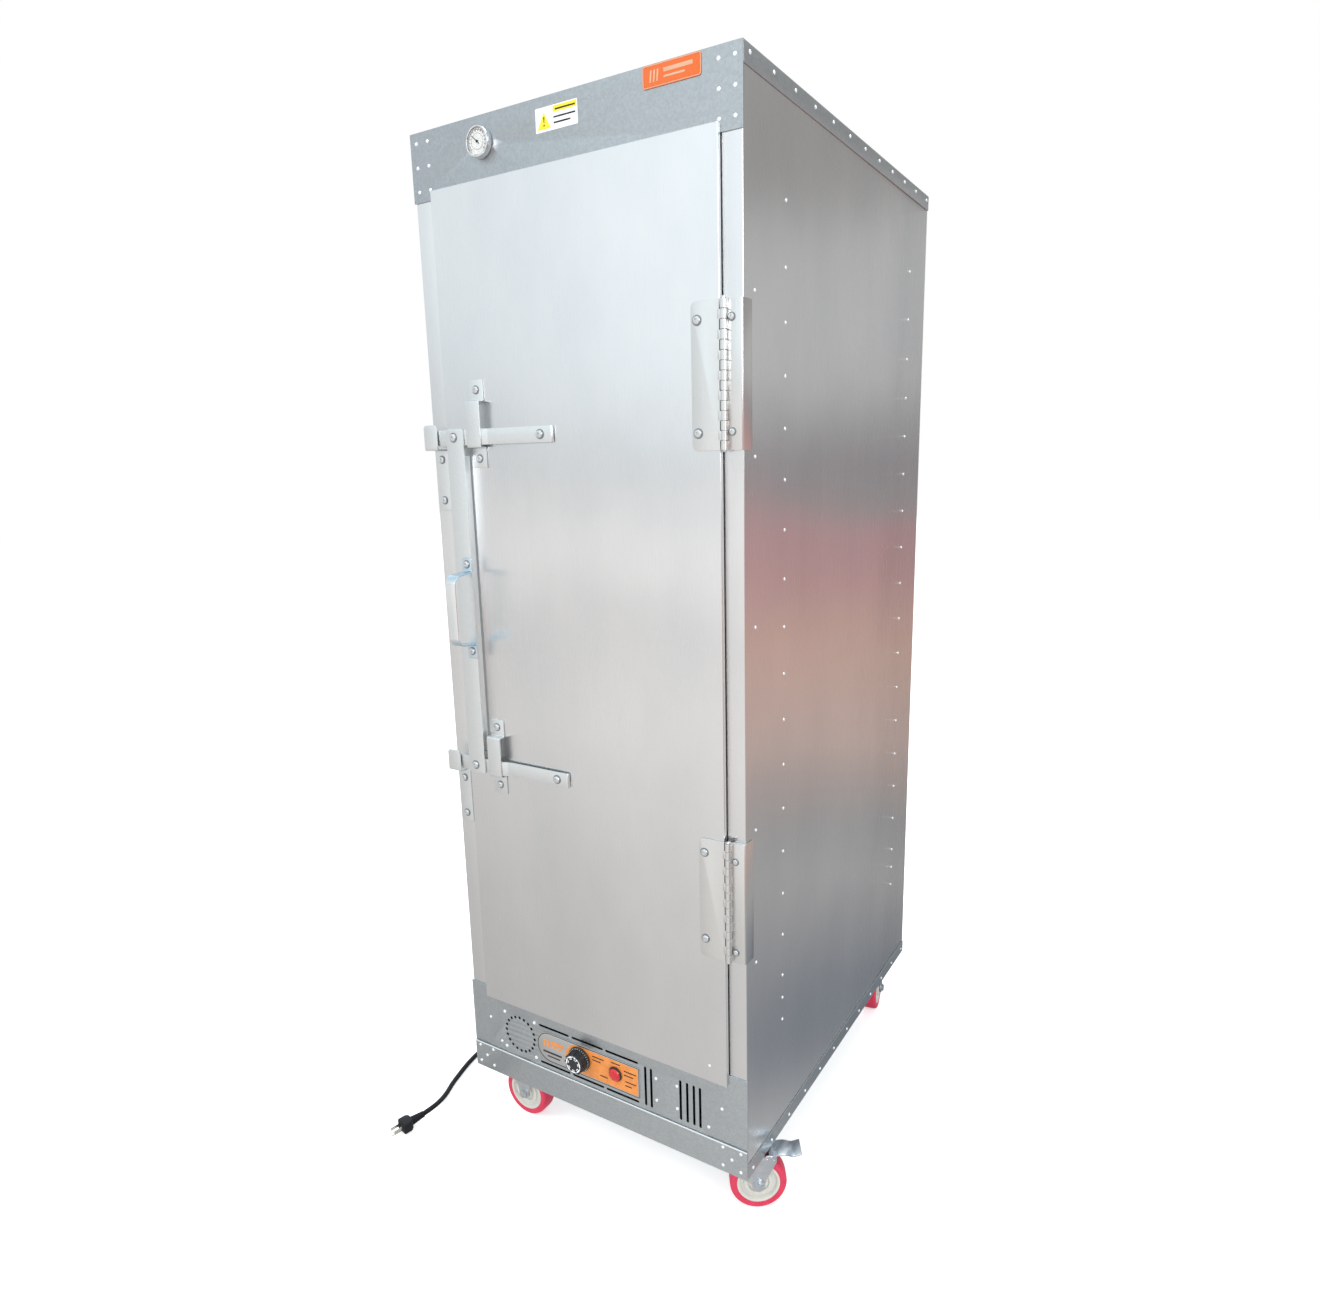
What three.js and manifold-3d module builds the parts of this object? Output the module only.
// Mobile proofing cabinet: sheet-metal body on four casters, hinged door with a gravity lift latch,
// pan slides inside, and a heat and humidity compartment under the deck.
// Millimetres. Inside the cabinet group, x is measured from the centre plane (right is +),
// y from the front frame face (back is +) and z from the underside of the body.
import * as THREE from "three";
import { mergeVertices } from "three/addons/utils/BufferGeometryUtils.js";
import Module from "manifold-3d";

const wasm = await Module();
wasm.setup();

// Body
const WIDTH = 608;
const DEPTH = 825;
const BODY_HEIGHT = 1700;
const SHEET = 1.6;
const GAP = 0.3;
const POST_WIDTH = 56;
const TRIM_FLANGE = 27;
const SKIRT = 20;
const BASE_TOP = SKIRT + 3;
const HEADER_BOTTOM = 1596;
const RAIL_HEIGHT = 55;
const FASCIA_TOP = 186;
const DECK_TOP = 185.6;

// Door
const DOOR_LEFT = -259.5;
const DOOR_RIGHT = 270;
const DOOR_BOTTOM = 168;
const DOOR_TOP = 1608;
const DOOR_PROUD = 10;
const PLUG_HALF_WIDTH = 240;
const PLUG_BOTTOM = 195;
const PLUG_TOP = 1588;

// Hinges
const BARREL_X = 277.5;
const BARREL_Y = -12;
const KNUCKLE_RADIUS = 5;
const PIN_RADIUS = 2.6;
const HINGE_LENGTH = 201;
const KNUCKLES = 9;
const HINGE_BOTTOMS = { upper: 1187, lower: 398 };
const LEAF = 2.5;
const POST_LEAF_FACE = -8;

// Latch
const ARM_HEIGHTS = { upper: 1220, lower: 648 };
const ARM_HALF_HEIGHT = 12.75;
const ARM_THICKNESS = 3;
const PIVOT_X = -50;
const LINK_X = -230;
const BOLT_HOLE_RADIUS = 5.2;
const SHANK_RADIUS = 4.6;
const HANDLE_REACH = 70;

// Pan slides
const PAN_LEVELS = 16;
const PAN_PITCH = 76.2;
const LOWEST_LEDGE = 294;
const LEDGE_REACH = 212;
const UPRIGHT_INNER = 240;
const UPRIGHT_ROWS = [135, 721];
const UPRIGHT_HALF_WIDTH = 20;

// Controls and heat
const KNOB_AT = [-40.5, 106];
const LAMP_AT = [39.5, 104];
const FAN_AT = [-185, 105];
const THERMOMETER_AT = [-150, 1660];

// Casters, bolted under the base sheet inside the skirt
const CASTER_HEIGHT = 130;
const FLOOR = SKIRT - CASTER_HEIGHT;
const CASTER_X = 254;
const CASTER_FRONT_Y = 54;
const WHEEL_RADIUS = 50.25;
const WHEEL_TRAIL = 36;
const CASTERS = [
  { name: "front_left", x: -CASTER_X, y: CASTER_FRONT_Y, heading: 0, brake: false },
  { name: "front_right", x: CASTER_X, y: CASTER_FRONT_Y, heading: 33, brake: true },
  { name: "rear_left", x: -CASTER_X, y: DEPTH - CASTER_FRONT_Y, heading: 213, brake: true },
  { name: "rear_right", x: CASTER_X, y: DEPTH - CASTER_FRONT_Y, heading: -80, brake: false },
];

// Cord
const GLAND_AT = [230, 60];
const GLAND_LENGTH = 35;
const CORD_RADIUS = 5;

const cabinet = new THREE.Group();
cabinet.position.set(0, -(DEPTH + GLAND_LENGTH - HANDLE_REACH) / 2, -FLOOR);

// ---------------------------------------------------------------- materials

const finish = (color, metalness, roughness) =>
  new THREE.MeshStandardMaterial({ color, metalness, roughness });
const aluminium = finish(0xc9ccce, 0.9, 0.35);
const galvanised = finish(0xaab4b9, 0.8, 0.45);
const zinc = finish(0xb4bcc6, 0.85, 0.35);
const steel = finish(0xc2c4c6, 0.9, 0.3);
const blackPlastic = finish(0x1b1c1e, 0, 0.45);
const orangeEnamel = finish(0xe2893a, 0, 0.4);
const redLens = finish(0xc8182a, 0, 0.15);
const rubber = finish(0x3a3b3d, 0, 0.8);
const redTread = finish(0xe02a4c, 0, 0.5);
const dialWhite = finish(0xeeeeea, 0, 0.3);

// ---------------------------------------------------------------- shape helpers

function solid(geometry) {
  geometry.deleteAttribute("normal");
  geometry.deleteAttribute("uv");
  const merged = mergeVertices(geometry, 1e-4);
  return new wasm.Manifold(
    new wasm.Mesh({
      numProp: 3,
      vertProperties: merged.attributes.position.array,
      triVerts: Uint32Array.from(merged.index.array),
    }),
  );
}

function add(name, material, shape, group = cabinet) {
  const { vertProperties, triVerts } = shape.getMesh();
  const indexed = new THREE.BufferGeometry();
  indexed.setAttribute("position", new THREE.BufferAttribute(vertProperties, 3));
  indexed.setIndex(new THREE.BufferAttribute(triVerts, 1));
  const geometry = indexed.toNonIndexed();
  geometry.computeVertexNormals();
  const mesh = new THREE.Mesh(geometry, material);
  mesh.name = name;
  group.add(mesh);
}

const join = (first, ...others) => others.reduce((whole, other) => whole.add(other), first);
const cut = (body, ...tools) => tools.reduce((left, tool) => left.subtract(tool), body);

function block(x0, x1, y0, y1, z0, z1) {
  const geometry = new THREE.BoxGeometry(x1 - x0, y1 - y0, z1 - z0);
  geometry.translate((x0 + x1) / 2, (y0 + y1) / 2, (z0 + z1) / 2);
  return solid(geometry);
}

// A round bar or cone along y at (x, z), from y0 to y1.
function barAlongY(x, z, y0, y1, r0, r1 = r0, sides = 16) {
  const geometry = new THREE.CylinderGeometry(r1, r0, y1 - y0, sides);
  geometry.translate(x, (y0 + y1) / 2, z);
  return solid(geometry);
}

// A round bar along z at (x, y), from z0 to z1.
function barAlongZ(x, y, z0, z1, radius, sides = 16) {
  const geometry = new THREE.CylinderGeometry(radius, radius, z1 - z0, sides);
  geometry.rotateX(Math.PI / 2);
  geometry.translate(x, y, (z0 + z1) / 2);
  return solid(geometry);
}

const outline = (points) => new THREE.Shape(points.map(([a, b]) => new THREE.Vector2(a, b)));

function extrude(shape, depth, curveSegments = 6) {
  return new THREE.ExtrudeGeometry(shape, { depth, bevelEnabled: false, curveSegments });
}

// A (y, z) profile carried along x.
function alongX(points, x0, x1) {
  const geometry = extrude(outline(points), x1 - x0);
  const turn = new THREE.Matrix4().makeBasis(
    new THREE.Vector3(0, 1, 0),
    new THREE.Vector3(0, 0, 1),
    new THREE.Vector3(1, 0, 0),
  );
  geometry.applyMatrix4(turn);
  geometry.translate(x0, 0, 0);
  return solid(geometry);
}

// An (x, z) shape carried along y.
function alongY(shape, y0, y1) {
  const geometry = extrude(shape, y1 - y0);
  geometry.rotateX(Math.PI / 2);
  geometry.translate(0, y1, 0);
  return solid(geometry);
}

// An (x, y) profile carried along z.
function alongZ(points, z0, z1) {
  const geometry = extrude(outline(points), z1 - z0);
  geometry.translate(0, 0, z0);
  return solid(geometry);
}

// A rectangle in (x, z) whose corners have one radius on the left and another on the right.
function roundedRectangle(x0, x1, z0, z1, left, right) {
  const shape = new THREE.Shape();
  shape.moveTo(x0 + left, z0);
  shape.lineTo(x1 - right, z0);
  shape.absarc(x1 - right, z0 + right, right, -Math.PI / 2, 0);
  shape.lineTo(x1, z1 - right);
  shape.absarc(x1 - right, z1 - right, right, 0, Math.PI / 2);
  shape.lineTo(x0 + left, z1);
  shape.absarc(x0 + left, z1 - left, left, Math.PI / 2, Math.PI);
  shape.lineTo(x0, z0 + left);
  shape.absarc(x0 + left, z0 + left, left, Math.PI, 1.5 * Math.PI);
  return shape;
}

// An eight-sided round bar along a smooth curve through the points.
function tube(points, radius, steps) {
  const section = new THREE.Shape();
  section.absarc(0, 0, radius, 0, 2 * Math.PI);
  const path = new THREE.CatmullRomCurve3(points.map((p) => new THREE.Vector3(...p)));
  return solid(new THREE.ExtrudeGeometry(section, { steps, curveSegments: 4, extrudePath: path }));
}

// ---------------------------------------------------------------- body shell

const SKIN = WIDTH / 2 - SHEET - GAP;
const SHELL_BACK = DEPTH - SHEET - GAP;
const FRONT_PLATE = [-SHEET - GAP, -GAP];

// Side skin folded into a front post with a return, and a rear flange.
function sidePanel(side) {
  const inner = SKIN - SHEET;
  const postEdge = SKIN - POST_WIDTH;
  const profile = [
    [SKIN, 0],
    [SKIN, SHELL_BACK],
    [SKIN - 30, SHELL_BACK],
    [SKIN - 30, SHELL_BACK - SHEET],
    [inner, SHELL_BACK - SHEET],
    [inner, SHEET],
    [postEdge + SHEET, SHEET],
    [postEdge + SHEET, 22],
    [postEdge, 22],
    [postEdge, 0],
  ].map(([x, y]) => [side * x, y]);
  if (side < 0) profile.reverse();
  return alongZ(profile, BASE_TOP + GAP, BODY_HEIGHT - SHEET - GAP);
}
add("left_side_panel", aluminium, sidePanel(-1));
add("right_side_panel", aluminium, sidePanel(1));

const shellTop = BODY_HEIGHT - SHEET - GAP;
add(
  "back_panel",
  aluminium,
  cut(
    block(-SKIN, SKIN, DEPTH - SHEET, DEPTH, BASE_TOP + GAP, shellTop),
    barAlongY(...GLAND_AT, DEPTH - 5, DEPTH + 5, 8),
  ),
);

// A flat sheet with a flange down each side, over the outside of the side skins.
function capSheet(z0, z1, flangeBottom, flangeTop) {
  const half = WIDTH / 2;
  return join(
    block(-half, half, 0, DEPTH, z0, z1),
    block(-half, -half + SHEET, 0, DEPTH, flangeBottom, flangeTop),
    block(half - SHEET, half, 0, DEPTH, flangeBottom, flangeTop),
  );
}
const capBottom = BODY_HEIGHT - TRIM_FLANGE;
add("top_panel", galvanised, capSheet(BODY_HEIGHT - SHEET, BODY_HEIGHT, capBottom, BODY_HEIGHT));
const rearSkirt = block(-WIDTH / 2, WIDTH / 2, DEPTH - SHEET, DEPTH, 0, BASE_TOP);
add("base_frame", galvanised, join(capSheet(SKIRT, BASE_TOP, 0, TRIM_FLANGE), rearSkirt));

function headerPanel() {
  const half = WIDTH / 2;
  return cut(
    join(
      block(-half, half, ...FRONT_PLATE, HEADER_BOTTOM, BODY_HEIGHT),
      block(-PLUG_HALF_WIDTH, PLUG_HALF_WIDTH, -SHEET, 20, HEADER_BOTTOM, HEADER_BOTTOM + SHEET),
    ),
    barAlongY(...THERMOMETER_AT, -5, 5, 4.5),
  );
}
add("header_panel", galvanised, headerPanel());

function bottomRail() {
  const half = WIDTH / 2;
  const back = FRONT_PLATE[0] - GAP;
  return join(
    block(-half, half, back - SHEET, back, 0, RAIL_HEIGHT),
    block(-half, half, back - 2.8, back, RAIL_HEIGHT - 2.5, RAIL_HEIGHT),
  );
}
add("bottom_rail", galvanised, bottomRail());

// Vent slots, fan ring and control holes through the fascia.
function lowerFascia() {
  const half = WIDTH / 2;
  const slot = (x0, x1, z0, z1) => block(x0, x1, -5, 5, z0, z1);
  const horizontal = [142, 64.5].flatMap((z) =>
    [-137, -59.5, 17].map((x) => slot(x, x + 71, z - 2.2, z + 2.2)),
  );
  const vertical = [103, 115, 175, 188.5, 201.7, 213.8].map((x) => slot(x - 2.4, x + 2.4, 64, 141));
  const ring = Array.from({ length: 20 }, (_, i) => {
    const angle = (i * Math.PI) / 10;
    const [x, z] = [FAN_AT[0] + 35 * Math.cos(angle), FAN_AT[1] + 35 * Math.sin(angle)];
    return barAlongY(x, z, -5, 5, 2.6, 2.6, 6);
  });
  return cut(
    block(-half, half, ...FRONT_PLATE, 4, FASCIA_TOP),
    ...horizontal,
    ...vertical,
    ...ring,
    barAlongY(...KNOB_AT, -5, 5, 6),
    barAlongY(...LAMP_AT, -5, 5, 9.5),
  );
}
add("lower_fascia", galvanised, lowerFascia());

// Floor of the proofing chamber, with a recess for the water pan and slots for the warm air.
const PAN_WELL = { x: 150, y0: 250, y1: 450 };
function compartmentDeck() {
  const half = SKIN - SHEET - GAP;
  const under = DECK_TOP - SHEET;
  const slots = [0, 1, 2, 3, 4].map((i) => block(-60, 60, 560 + 22 * i, 570 + 22 * i, 150, 200));
  return cut(
    join(
      block(-half, half, 22.5, SHELL_BACK - SHEET - GAP, under, DECK_TOP),
      block(-245, 245, 0, 23, under, DECK_TOP),
      block(-half, -half + SHEET, 22.5, SHELL_BACK - 5, under - 22, DECK_TOP),
      block(half - SHEET, half, 22.5, SHELL_BACK - 5, under - 22, DECK_TOP),
    ),
    block(-PAN_WELL.x, PAN_WELL.x, PAN_WELL.y0, PAN_WELL.y1, 150, 200),
    ...slots,
  );
}
add("compartment_deck", galvanised, compartmentDeck());

// Two channel uprights on the side wall, with an angle ledge at each pan level.
function slideRack(side) {
  const wall = SKIN - SHEET - GAP;
  const mirrored = (x0, x1, ...rest) =>
    side > 0 ? block(x0, x1, ...rest) : block(-x1, -x0, ...rest);
  const uprights = UPRIGHT_ROWS.map((y) =>
    cut(
      mirrored(UPRIGHT_INNER, wall, y - UPRIGHT_HALF_WIDTH, y + UPRIGHT_HALF_WIDTH, 205, 1560),
      mirrored(
        UPRIGHT_INNER + SHEET,
        wall + 1,
        y - UPRIGHT_HALF_WIDTH + SHEET,
        y + UPRIGHT_HALF_WIDTH - SHEET,
        200,
        1565,
      ),
    ),
  );
  const ledges = Array.from({ length: PAN_LEVELS }, (_, level) => {
    const z = LOWEST_LEDGE + PAN_PITCH * level;
    return join(
      mirrored(UPRIGHT_INNER - SHEET, UPRIGHT_INNER + 0.2, 30, 790, z, z + 22),
      mirrored(LEDGE_REACH, UPRIGHT_INNER, 30, 790, z, z + SHEET),
    );
  });
  return join(...uprights, ...ledges);
}
add("left_slide_rack", aluminium, slideRack(-1));
add("right_slide_rack", aluminium, slideRack(1));

// ---------------------------------------------------------------- door

function doorPanel() {
  const front = -DOOR_PROUD;
  return cut(
    block(DOOR_LEFT, DOOR_RIGHT, front, -2.5, DOOR_BOTTOM, DOOR_TOP),
    block(
      DOOR_LEFT + SHEET,
      DOOR_RIGHT - SHEET,
      front + SHEET,
      0,
      DOOR_BOTTOM + SHEET,
      DOOR_TOP - SHEET,
    ),
  );
}
add("door_panel", aluminium, doorPanel());

// Inner pan: a rim inside the folded skin and a plug that fills the door opening.
const RIM_BACK = -DOOR_PROUD + 2 * SHEET + GAP;
function doorLiner() {
  const rimInset = SHEET + GAP;
  return cut(
    join(
      block(
        DOOR_LEFT + rimInset,
        DOOR_RIGHT - rimInset,
        RIM_BACK - SHEET,
        RIM_BACK,
        DOOR_BOTTOM + rimInset,
        DOOR_TOP - rimInset,
      ),
      block(-PLUG_HALF_WIDTH, PLUG_HALF_WIDTH, RIM_BACK - 0.5, 12, PLUG_BOTTOM, PLUG_TOP),
    ),
    block(
      -PLUG_HALF_WIDTH + SHEET,
      PLUG_HALF_WIDTH - SHEET,
      -DOOR_PROUD,
      12 - SHEET,
      PLUG_BOTTOM + SHEET,
      PLUG_TOP - SHEET,
    ),
  );
}
add("door_liner", aluminium, doorLiner());

function doorGasket() {
  const front = RIM_BACK + GAP;
  const back = FRONT_PLATE[0] - GAP;
  return join(
    cut(
      block(-257, 262, front, back, 171, 1605),
      block(-247, 252, front - 1, back + 1, 181, 1597),
    ),
    block(-257, -247, back - 1, -GAP, 188, 1594),
    block(252, 262, back - 1, -GAP, 188, 1594),
  );
}
add("door_gasket", rubber, doorGasket());

// ---------------------------------------------------------------- hinges

// Every second knuckle, with the web that ties it to its leaf.
function knuckles(bottom, first, webX0, webX1, webY0, webY1) {
  const pitch = HINGE_LENGTH / KNUCKLES;
  const found = [];
  for (let i = first; i < KNUCKLES; i += 2) {
    const z0 = bottom + i * pitch + GAP / 2;
    const z1 = bottom + (i + 1) * pitch - GAP / 2;
    const barrel = barAlongZ(BARREL_X, BARREL_Y, z0, z1, KNUCKLE_RADIUS, 8);
    found.push(join(barrel, block(webX0, webX1, webY0, webY1, z0, z1)));
  }
  return join(...found);
}

function hinge(name, bottom) {
  const top = bottom + HINGE_LENGTH;
  const bore = barAlongZ(BARREL_X, BARREL_Y, bottom - 1, top + 1, PIN_RADIUS + 0.5, 8);
  const doorFace = -DOOR_PROUD - GAP;
  const doorLeaf = alongY(
    roundedRectangle(226, BARREL_X - KNUCKLE_RADIUS - 0.5, bottom, top, 8, 0.5),
    doorFace - LEAF,
    doorFace,
  );
  const doorKnuckles = knuckles(bottom, 1, 268, BARREL_X, doorFace - LEAF, doorFace);
  add(`${name}_hinge_door_leaf`, aluminium, cut(join(doorLeaf, doorKnuckles), bore));
  // The frame leaf lies on a packing strip that brings it forward to the barrel.
  const wrapX = SKIN + GAP;
  const leafEdge = BARREL_X + 3.5;
  const frameLeaf = join(
    block(leafEdge, wrapX + LEAF, POST_LEAF_FACE, -GAP, bottom, top),
    block(wrapX, wrapX + LEAF, POST_LEAF_FACE, 20, bottom, top),
    knuckles(bottom, 0, leafEdge - LEAF, leafEdge + 0.5, BARREL_Y, POST_LEAF_FACE + LEAF),
  );
  add(`${name}_hinge_frame_leaf`, aluminium, cut(frameLeaf, bore));
  add(
    `${name}_hinge_pin`,
    steel,
    join(
      barAlongZ(BARREL_X, BARREL_Y, bottom - 2, top + 0.5, PIN_RADIUS, 8),
      barAlongZ(BARREL_X, BARREL_Y, top + GAP, top + 3, 4.5, 8),
    ),
  );
}
for (const [name, bottom] of Object.entries(HINGE_BOTTOMS)) hinge(name, bottom);

// ---------------------------------------------------------------- latch

const ARM_BEHIND = -22;
const GUIDE = { x0: -200, x1: -170, face: -24.6, sheet: 2 };

// A flat bar with one outward joggle, drilled for its pivot and its link bolt.
function latchArm(z) {
  const near = -17;
  const plan = [
    [-27, near],
    [-27, near + ARM_THICKNESS],
    [-160.5, near + ARM_THICKNESS],
    [-170.5, ARM_BEHIND + ARM_THICKNESS],
    [-296, ARM_BEHIND + ARM_THICKNESS],
    [-296, ARM_BEHIND],
    [-172, ARM_BEHIND],
    [-162, near],
  ];
  return cut(
    alongZ(plan, z - ARM_HALF_HEIGHT, z + ARM_HALF_HEIGHT),
    barAlongY(PIVOT_X, z, -30, 0, BOLT_HOLE_RADIUS),
    barAlongY(LINK_X, z, -30, 0, BOLT_HOLE_RADIUS),
  );
}

// Washer against the door, shank through the arm, and a round head.
function pivotBolt(z) {
  const armBack = -17 + ARM_THICKNESS;
  return join(
    barAlongY(PIVOT_X, z, armBack + GAP, -DOOR_PROUD - GAP, 10),
    barAlongY(PIVOT_X, z, -17.5, armBack + 0.5, SHANK_RADIUS),
    barAlongY(PIVOT_X, z, -22, -17 - GAP, 7.5, 8.5),
  );
}

// Hat strap that holds the arm near the door and limits its lift.
function guideBracket(z0, z1, hat0, hat1) {
  const seat = -DOOR_PROUD - GAP;
  const { face, sheet } = GUIDE;
  const profile = [
    [seat, z0],
    [seat, hat0 + sheet],
    [face + sheet, hat0 + sheet],
    [face + sheet, hat1 - sheet],
    [seat, hat1 - sheet],
    [seat, z1],
    [seat - sheet, z1],
    [seat - sheet, hat1],
    [face, hat1],
    [face, hat0],
    [seat - sheet, hat0],
    [seat - sheet, z0],
  ];
  return alongX(profile, GUIDE.x0, GUIDE.x1);
}

// Strip on the post with a hook whose pocket is open upward.
function latchCatch(bottom, shelf, top) {
  const sheet = 2;
  const hook = -25.5;
  const profile = [
    [-GAP, bottom],
    [-GAP, shelf + sheet],
    [hook + sheet, shelf + sheet],
    [hook + sheet, top],
    [hook, top],
    [hook, shelf],
    [-GAP - sheet, shelf],
    [-GAP - sheet, bottom],
  ];
  return alongX(profile, -298, -268);
}

for (const [name, z] of Object.entries(ARM_HEIGHTS)) {
  add(`${name}_latch_arm`, galvanised, latchArm(z));
  add(`${name}_pivot_bolt`, zinc, pivotBolt(z));
}
add("upper_guide_bracket", galvanised, guideBracket(1170, 1311, 1202, 1278));
add("lower_guide_bracket", galvanised, guideBracket(598, 735, 631, 705));
add("upper_catch", galvanised, latchCatch(1098, 1200, 1242));
add("lower_catch", galvanised, latchCatch(522, 628, 668));

// Angle bar in front of the two arms, with a bolt through each of them.
function liftBar() {
  const back = ARM_BEHIND - GAP;
  const face = back - 2.7;
  const linkBolts = Object.values(ARM_HEIGHTS).flatMap((z) => [
    barAlongY(LINK_X, z, face - 4, face, 7.5, 8.5),
    barAlongY(LINK_X, z, face - 1, -17, SHANK_RADIUS),
    barAlongY(LINK_X, z, ARM_BEHIND + ARM_THICKNESS + GAP, -14, 8, 8, 6),
  ]);
  return join(
    block(-246, -208, face, back, 632, 1234),
    block(-210.7, -208, face, -12.5, 675, 1190),
    ...linkBolts,
  );
}
add("lift_bar", galvanised, liftBar());

// Bent strap handle with a foot at each end.
function pullHandle() {
  const seat = -25 - GAP;
  const strap = 3;
  const grip = -HANDLE_REACH;
  const half = [
    [seat, 845],
    [seat, 872],
    [-59, 876],
    [grip + strap, 884.5],
  ];
  const outer = [
    [grip, 883],
    [-60, 873],
    [seat - strap, 869],
    [seat - strap, 845],
  ];
  const middle = 933.5;
  const flipped = (points) => points.map(([y, z]) => [y, 2 * middle - z]).reverse();
  const profile = [...half, ...flipped(half), ...flipped(outer), ...outer];
  return alongX(profile, LINK_X + 3, LINK_X + 25);
}
add("pull_handle", zinc, pullHandle());

// ---------------------------------------------------------------- header fittings

const PLATE_BACK = FRONT_PLATE[0] - GAP;
add(
  "thermometer",
  dialWhite,
  join(
    barAlongY(...THERMOMETER_AT, -14, PLATE_BACK, 21.5, 23, 32),
    barAlongY(...THERMOMETER_AT, -5, 45, 3, 3, 8),
  ),
);
add(
  "name_badge",
  orangeEnamel,
  alongY(roundedRectangle(150, 243, 1670, 1699, 4, 4), PLATE_BACK - 1.2, PLATE_BACK),
);

// ---------------------------------------------------------------- controls

add(
  "control_plate",
  orangeEnamel,
  cut(
    alongY(roundedRectangle(-142, 91.5, 72, 133.5, 30, 2), PLATE_BACK - 1.2, PLATE_BACK),
    barAlongY(...KNOB_AT, -10, 5, 6),
    barAlongY(...LAMP_AT, -10, 5, 9.5),
  ),
);
const CONTROL_FACE = PLATE_BACK - 1.2 - GAP;

add(
  "thermostat",
  blackPlastic,
  join(
    block(KNOB_AT[0] - 28, KNOB_AT[0] + 28, 0, 38, 80, 132),
    barAlongY(...KNOB_AT, -16, 1, 3, 3, 8),
  ),
);
add(
  "thermostat_knob",
  blackPlastic,
  cut(
    join(
      barAlongY(...KNOB_AT, -9, CONTROL_FACE, 23, 24, 32),
      barAlongY(...KNOB_AT, -24, -8, 18, 20, 32),
    ),
    barAlongY(...KNOB_AT, -17, 0, 3.6, 3.6, 12),
  ),
);
add(
  "indicator_light",
  blackPlastic,
  join(
    barAlongY(...LAMP_AT, -6.5, CONTROL_FACE, 13, 14, 24),
    barAlongY(...LAMP_AT, -5, 22, 8.5),
  ),
);
add("indicator_lens", redLens, barAlongY(...LAMP_AT, -11, -6.5 - GAP, 9, 12, 24));

// ---------------------------------------------------------------- heat, air and water

// Square fan frame with a round duct, three struts and a motor boss with its shaft.
function fanHousing() {
  const [x, z] = FAN_AT;
  const strut = (turn) => {
    const geometry = new THREE.BoxGeometry(26, 3, 6);
    geometry.translate(27, 23.5, 0);
    geometry.rotateY(turn);
    geometry.translate(x, 0, z);
    return solid(geometry);
  };
  return join(
    cut(block(x - 43, x + 43, 0, 25, z - 43, z + 43), barAlongY(x, z, -1, 26, 38, 38, 24)),
    barAlongY(x, z, 18, 25, 16),
    barAlongY(x, z, 9, 19, 2, 2, 8),
    ...[0, 1, 2].map((i) => strut((i * 2 * Math.PI) / 3)),
  );
}
add("fan_housing", blackPlastic, fanHousing());

function fanRotor() {
  const [x, z] = FAN_AT;
  const blade = (turn) => {
    const geometry = new THREE.BoxGeometry(22, 2, 15);
    geometry.rotateX(0.6);
    geometry.translate(25, 10, 0);
    geometry.rotateY(turn);
    geometry.translate(x, 0, z);
    return solid(geometry);
  };
  return cut(
    join(
      barAlongY(x, z, 3, 17.5, 15),
      ...[0, 1, 2, 3, 4].map((i) => blade((i * 2 * Math.PI) / 5)),
    ),
    barAlongY(x, z, 8, 18, 2.6, 2.6, 12),
  );
}
add("fan_rotor", blackPlastic, fanRotor());

// Tubular element in one flat loop under the water pan, standing on its two ends.
add(
  "heating_element",
  steel,
  tube(
    [
      [-70, 300, BASE_TOP + GAP],
      [-70, 300, 60],
      [-72, 320, 92],
      [-75, 370, 96],
      [-75, 420, 96],
      [-50, 470, 96],
      [0, 485, 96],
      [50, 470, 96],
      [75, 420, 96],
      [75, 370, 96],
      [72, 320, 92],
      [70, 300, 60],
      [70, 300, BASE_TOP + GAP],
    ],
    4.5,
    34,
  ),
);

function waterPan() {
  const floor = 126;
  const half = PAN_WELL.x - 2;
  const [y0, y1] = [PAN_WELL.y0 + 2, PAN_WELL.y1 - 2];
  const rim = DECK_TOP + GAP;
  return cut(
    join(
      block(-half, half, y0, y1, floor, rim + 1),
      block(-half - 14, half + 14, y0 - 14, y1 + 14, rim, rim + SHEET),
    ),
    block(-half + SHEET, half - SHEET, y0 + SHEET, y1 - SHEET, floor + SHEET, rim + 5),
  );
}
add("water_pan", steel, waterPan());

// ---------------------------------------------------------------- casters

// Each caster is drawn with its swivel axis at the origin, the floor at z = 0 and the wheel trailing on +x.
const PEDAL_PIVOT = [58, 104];
const PEDAL_HALF_WIDTH = 18;
const FORK_INSIDE = 18.5;
const FORK_OUTSIDE = 21;

function casterPlate() {
  return join(
    block(-31, 31, -46, 46, CASTER_HEIGHT - 3 - GAP, CASTER_HEIGHT - GAP),
    barAlongZ(0, 0, 115 + GAP, CASTER_HEIGHT - 3, 20),
  );
}

function casterFork(brake) {
  const tail = brake
    ? [
        [67, 96],
        [67, 108.5],
        [49, 108.5],
        [45, 106],
      ]
    : [
        [58, 96],
        [54, 106],
      ];
  const leg = outline([[-24, 106], [-24, 97], [25, 40], [36, 34], [47, 40], ...tail]);
  const crown = join(
    block(-24, 45, -FORK_OUTSIDE, FORK_OUTSIDE, 103.5, 106),
    barAlongZ(0, 0, 105, 115, 23),
  );
  const axle = join(
    barAlongY(WHEEL_TRAIL, WHEEL_RADIUS, -24, 24, 5, 5, 12),
    barAlongY(WHEEL_TRAIL, WHEEL_RADIUS, -27, -20.5, 8.5, 8.5, 6),
    barAlongY(WHEEL_TRAIL, WHEEL_RADIUS, 20.5, 27, 8.5, 8.5, 6),
  );
  const fork = join(
    crown,
    alongY(leg, FORK_INSIDE, FORK_OUTSIDE),
    alongY(leg, -FORK_OUTSIDE, -FORK_INSIDE),
    axle,
  );
  return brake ? join(fork, barAlongY(...PEDAL_PIVOT, -20, 20, 2.5, 2.5, 8)) : fork;
}

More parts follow.
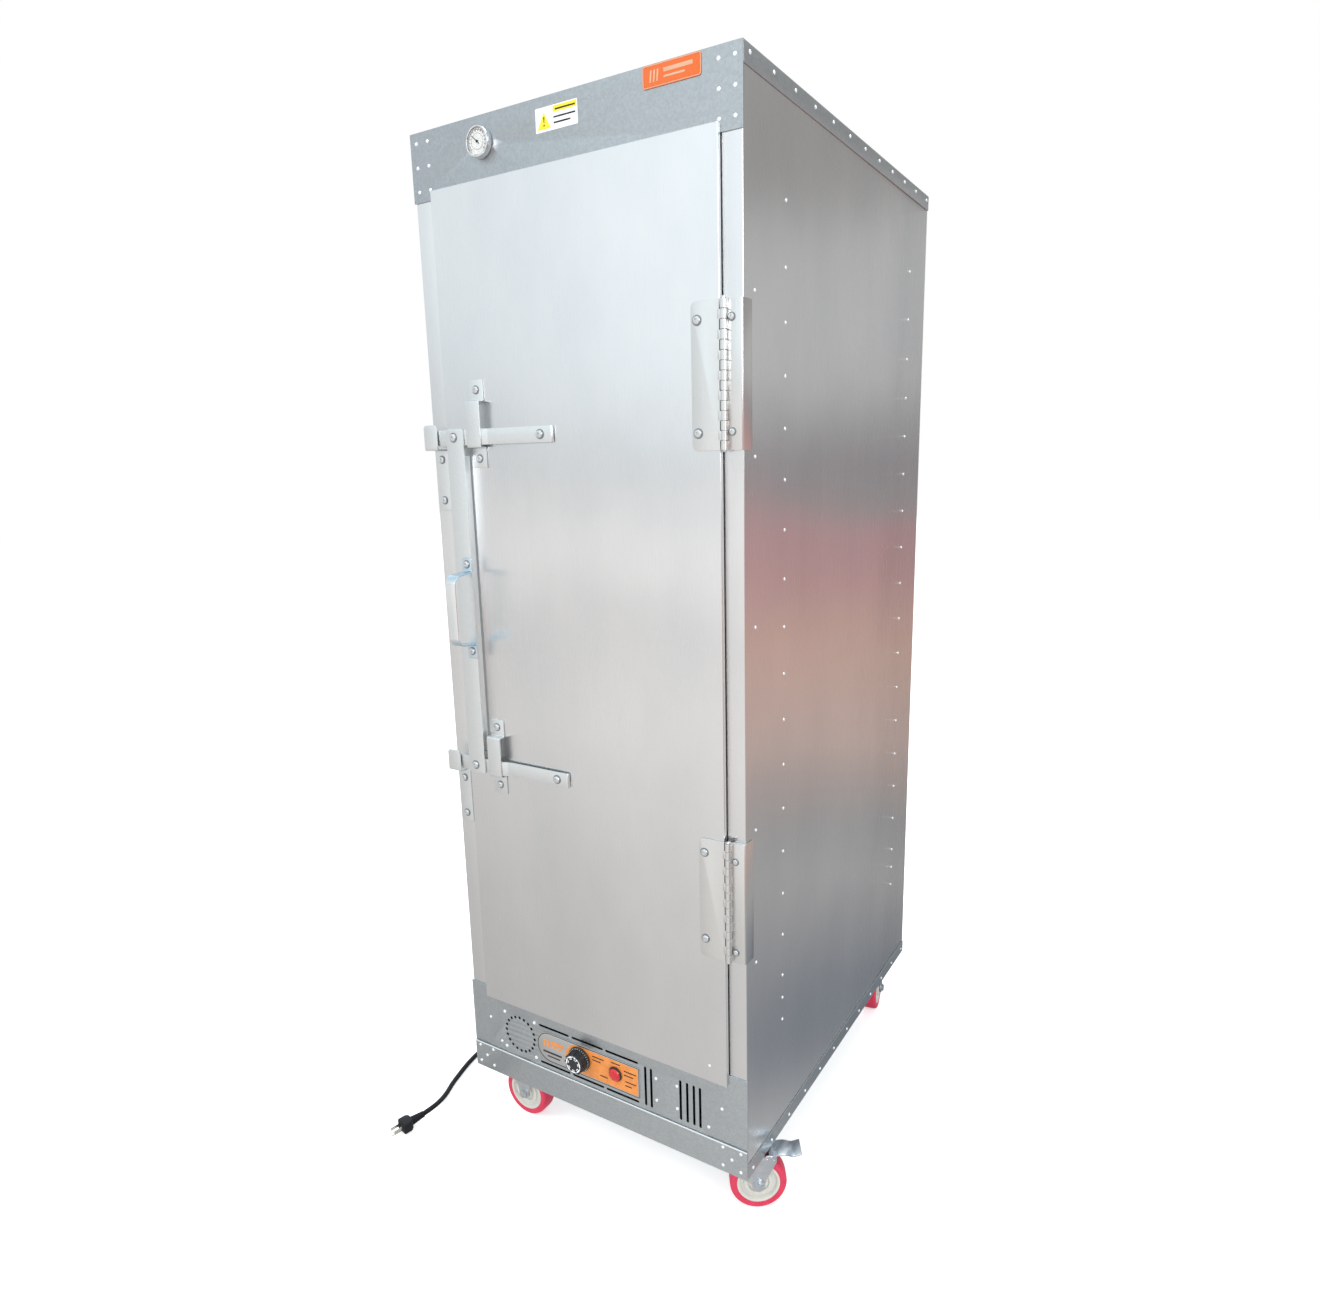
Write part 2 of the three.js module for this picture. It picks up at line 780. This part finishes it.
// Tread, rim, recessed web and hub as one turned section.
function casterWheel() {
  const section = [
    [6.3, -17.5],
    [14, -17.5],
    [17, -9],
    [33, -15],
    [45.5, -16],
    [WHEEL_RADIUS, -11],
    [WHEEL_RADIUS, 11],
    [45.5, 16],
    [33, 15],
    [17, 9],
    [14, 17.5],
    [6.3, 17.5],
    [6.3, -17.5],
  ].map(([r, y]) => new THREE.Vector2(r, y));
  const geometry = new THREE.LatheGeometry(section, 24);
  geometry.translate(WHEEL_TRAIL, 0, WHEEL_RADIUS);
  return solid(geometry);
}

// Wavy foot pedal on a sleeve around the pin between the fork's ears.
function brakePedal() {
  const plate = [
    [54, 108.5],
    [63, 105.5],
    [72, 108],
    [83, 108.5],
    [97, 104],
    [112, 108.5],
  ];
  const underside = plate.map(([x, z]) => [x, z - 2.5]).reverse();
  const [x, z] = PEDAL_PIVOT;
  return cut(
    join(
      alongY(outline([...underside, ...plate]), -PEDAL_HALF_WIDTH, PEDAL_HALF_WIDTH),
      barAlongY(x, z, -18, 18, 5, 5, 12),
    ),
    barAlongY(x, z, -20, 20, 3, 3, 12),
  );
}

for (const { name, x, y, heading, brake } of CASTERS) {
  const mount = new THREE.Group();
  mount.position.set(x, y, FLOOR);
  cabinet.add(mount);
  add(`${name}_caster_plate`, zinc, casterPlate(), mount);
  const swivel = new THREE.Group();
  swivel.rotation.z = THREE.MathUtils.degToRad(heading);
  mount.add(swivel);
  add(`${name}_caster_fork`, zinc, casterFork(brake), swivel);
  add(`${name}_wheel`, redTread, casterWheel(), swivel);
  if (brake) add(`${name}_brake_pedal`, zinc, brakePedal(), swivel);
}

// ---------------------------------------------------------------- power cord

function cordGland() {
  const [x, z] = GLAND_AT;
  return join(
    barAlongY(x, z, DEPTH - 10, SHELL_BACK - GAP, 12, 12, 6),
    barAlongY(x, z, DEPTH - 8, DEPTH + 4, 7.5),
    barAlongY(x, z, DEPTH + GAP, DEPTH + 7, 12, 12, 6),
    barAlongY(x, z, DEPTH + 6, DEPTH + GLAND_LENGTH, 9, 7),
  );
}
add("cord_gland", blackPlastic, cordGland());

// The cord drops from the gland, runs behind the cabinet and comes forward along its left side.
const CORD_FLOOR = FLOOR + CORD_RADIUS + GAP;
const CORD_ROUTE = [
  [230, DEPTH + GLAND_LENGTH + GAP, 60],
  [230, 880, 59],
  [230, 900, 45],
  [229, 911, 17],
  [226, 915, -20],
  [219, 915, -60],
  [202, 914, -89],
  [172, 911, -102],
  [135, 907, CORD_FLOOR],
  [60, 898, CORD_FLOOR],
  [-60, 888, CORD_FLOOR],
  [-170, 890, CORD_FLOOR],
  [-265, 884, CORD_FLOOR],
  [-340, 850, CORD_FLOOR],
  [-385, 785, CORD_FLOOR],
  [-398, 700, CORD_FLOOR],
  [-396, 600, CORD_FLOOR],
  [-400, 480, CORD_FLOOR],
  [-412, 360, CORD_FLOOR],
  [-428, 240, CORD_FLOOR],
  [-435, 128, CORD_FLOOR],
  [-414, 33, CORD_FLOOR],
  [-395, -16, CORD_FLOOR + 2],
  [-386, -49, CORD_FLOOR + 7],
  [-387, -79, CORD_FLOOR + 8],
];
add("power_cord", blackPlastic, tube(CORD_ROUTE, CORD_RADIUS, 72));

// Three-prong plug, drawn along +x from the end of the cord.
function plug() {
  const grip = new THREE.Shape();
  grip.moveTo(4 * GAP, -7);
  grip.lineTo(28, -10);
  grip.lineTo(34, -14);
  grip.lineTo(50, -14);
  grip.lineTo(50, 14);
  grip.lineTo(34, 14);
  grip.lineTo(28, 10);
  grip.lineTo(4 * GAP, 7);
  const body = extrude(grip, 22);
  body.translate(0, 0, -11);
  const blade = (y) => block(49, 68, y - 0.8, y + 0.8, -1, 5.3);
  const pin = new THREE.CylinderGeometry(2.4, 2.4, 22, 8);
  pin.rotateZ(Math.PI / 2);
  pin.translate(60, 0, -6.5);
  return join(solid(body), blade(-6.35), blade(6.35), solid(pin));
}
const plugGroup = new THREE.Group();
plugGroup.position.set(...CORD_ROUTE.at(-1));
plugGroup.rotation.z = THREE.MathUtils.degToRad(-101.8);
cabinet.add(plugGroup);
add("plug", blackPlastic, plug(), plugGroup);

const object = new THREE.Group();
object.add(cabinet);
export default object;
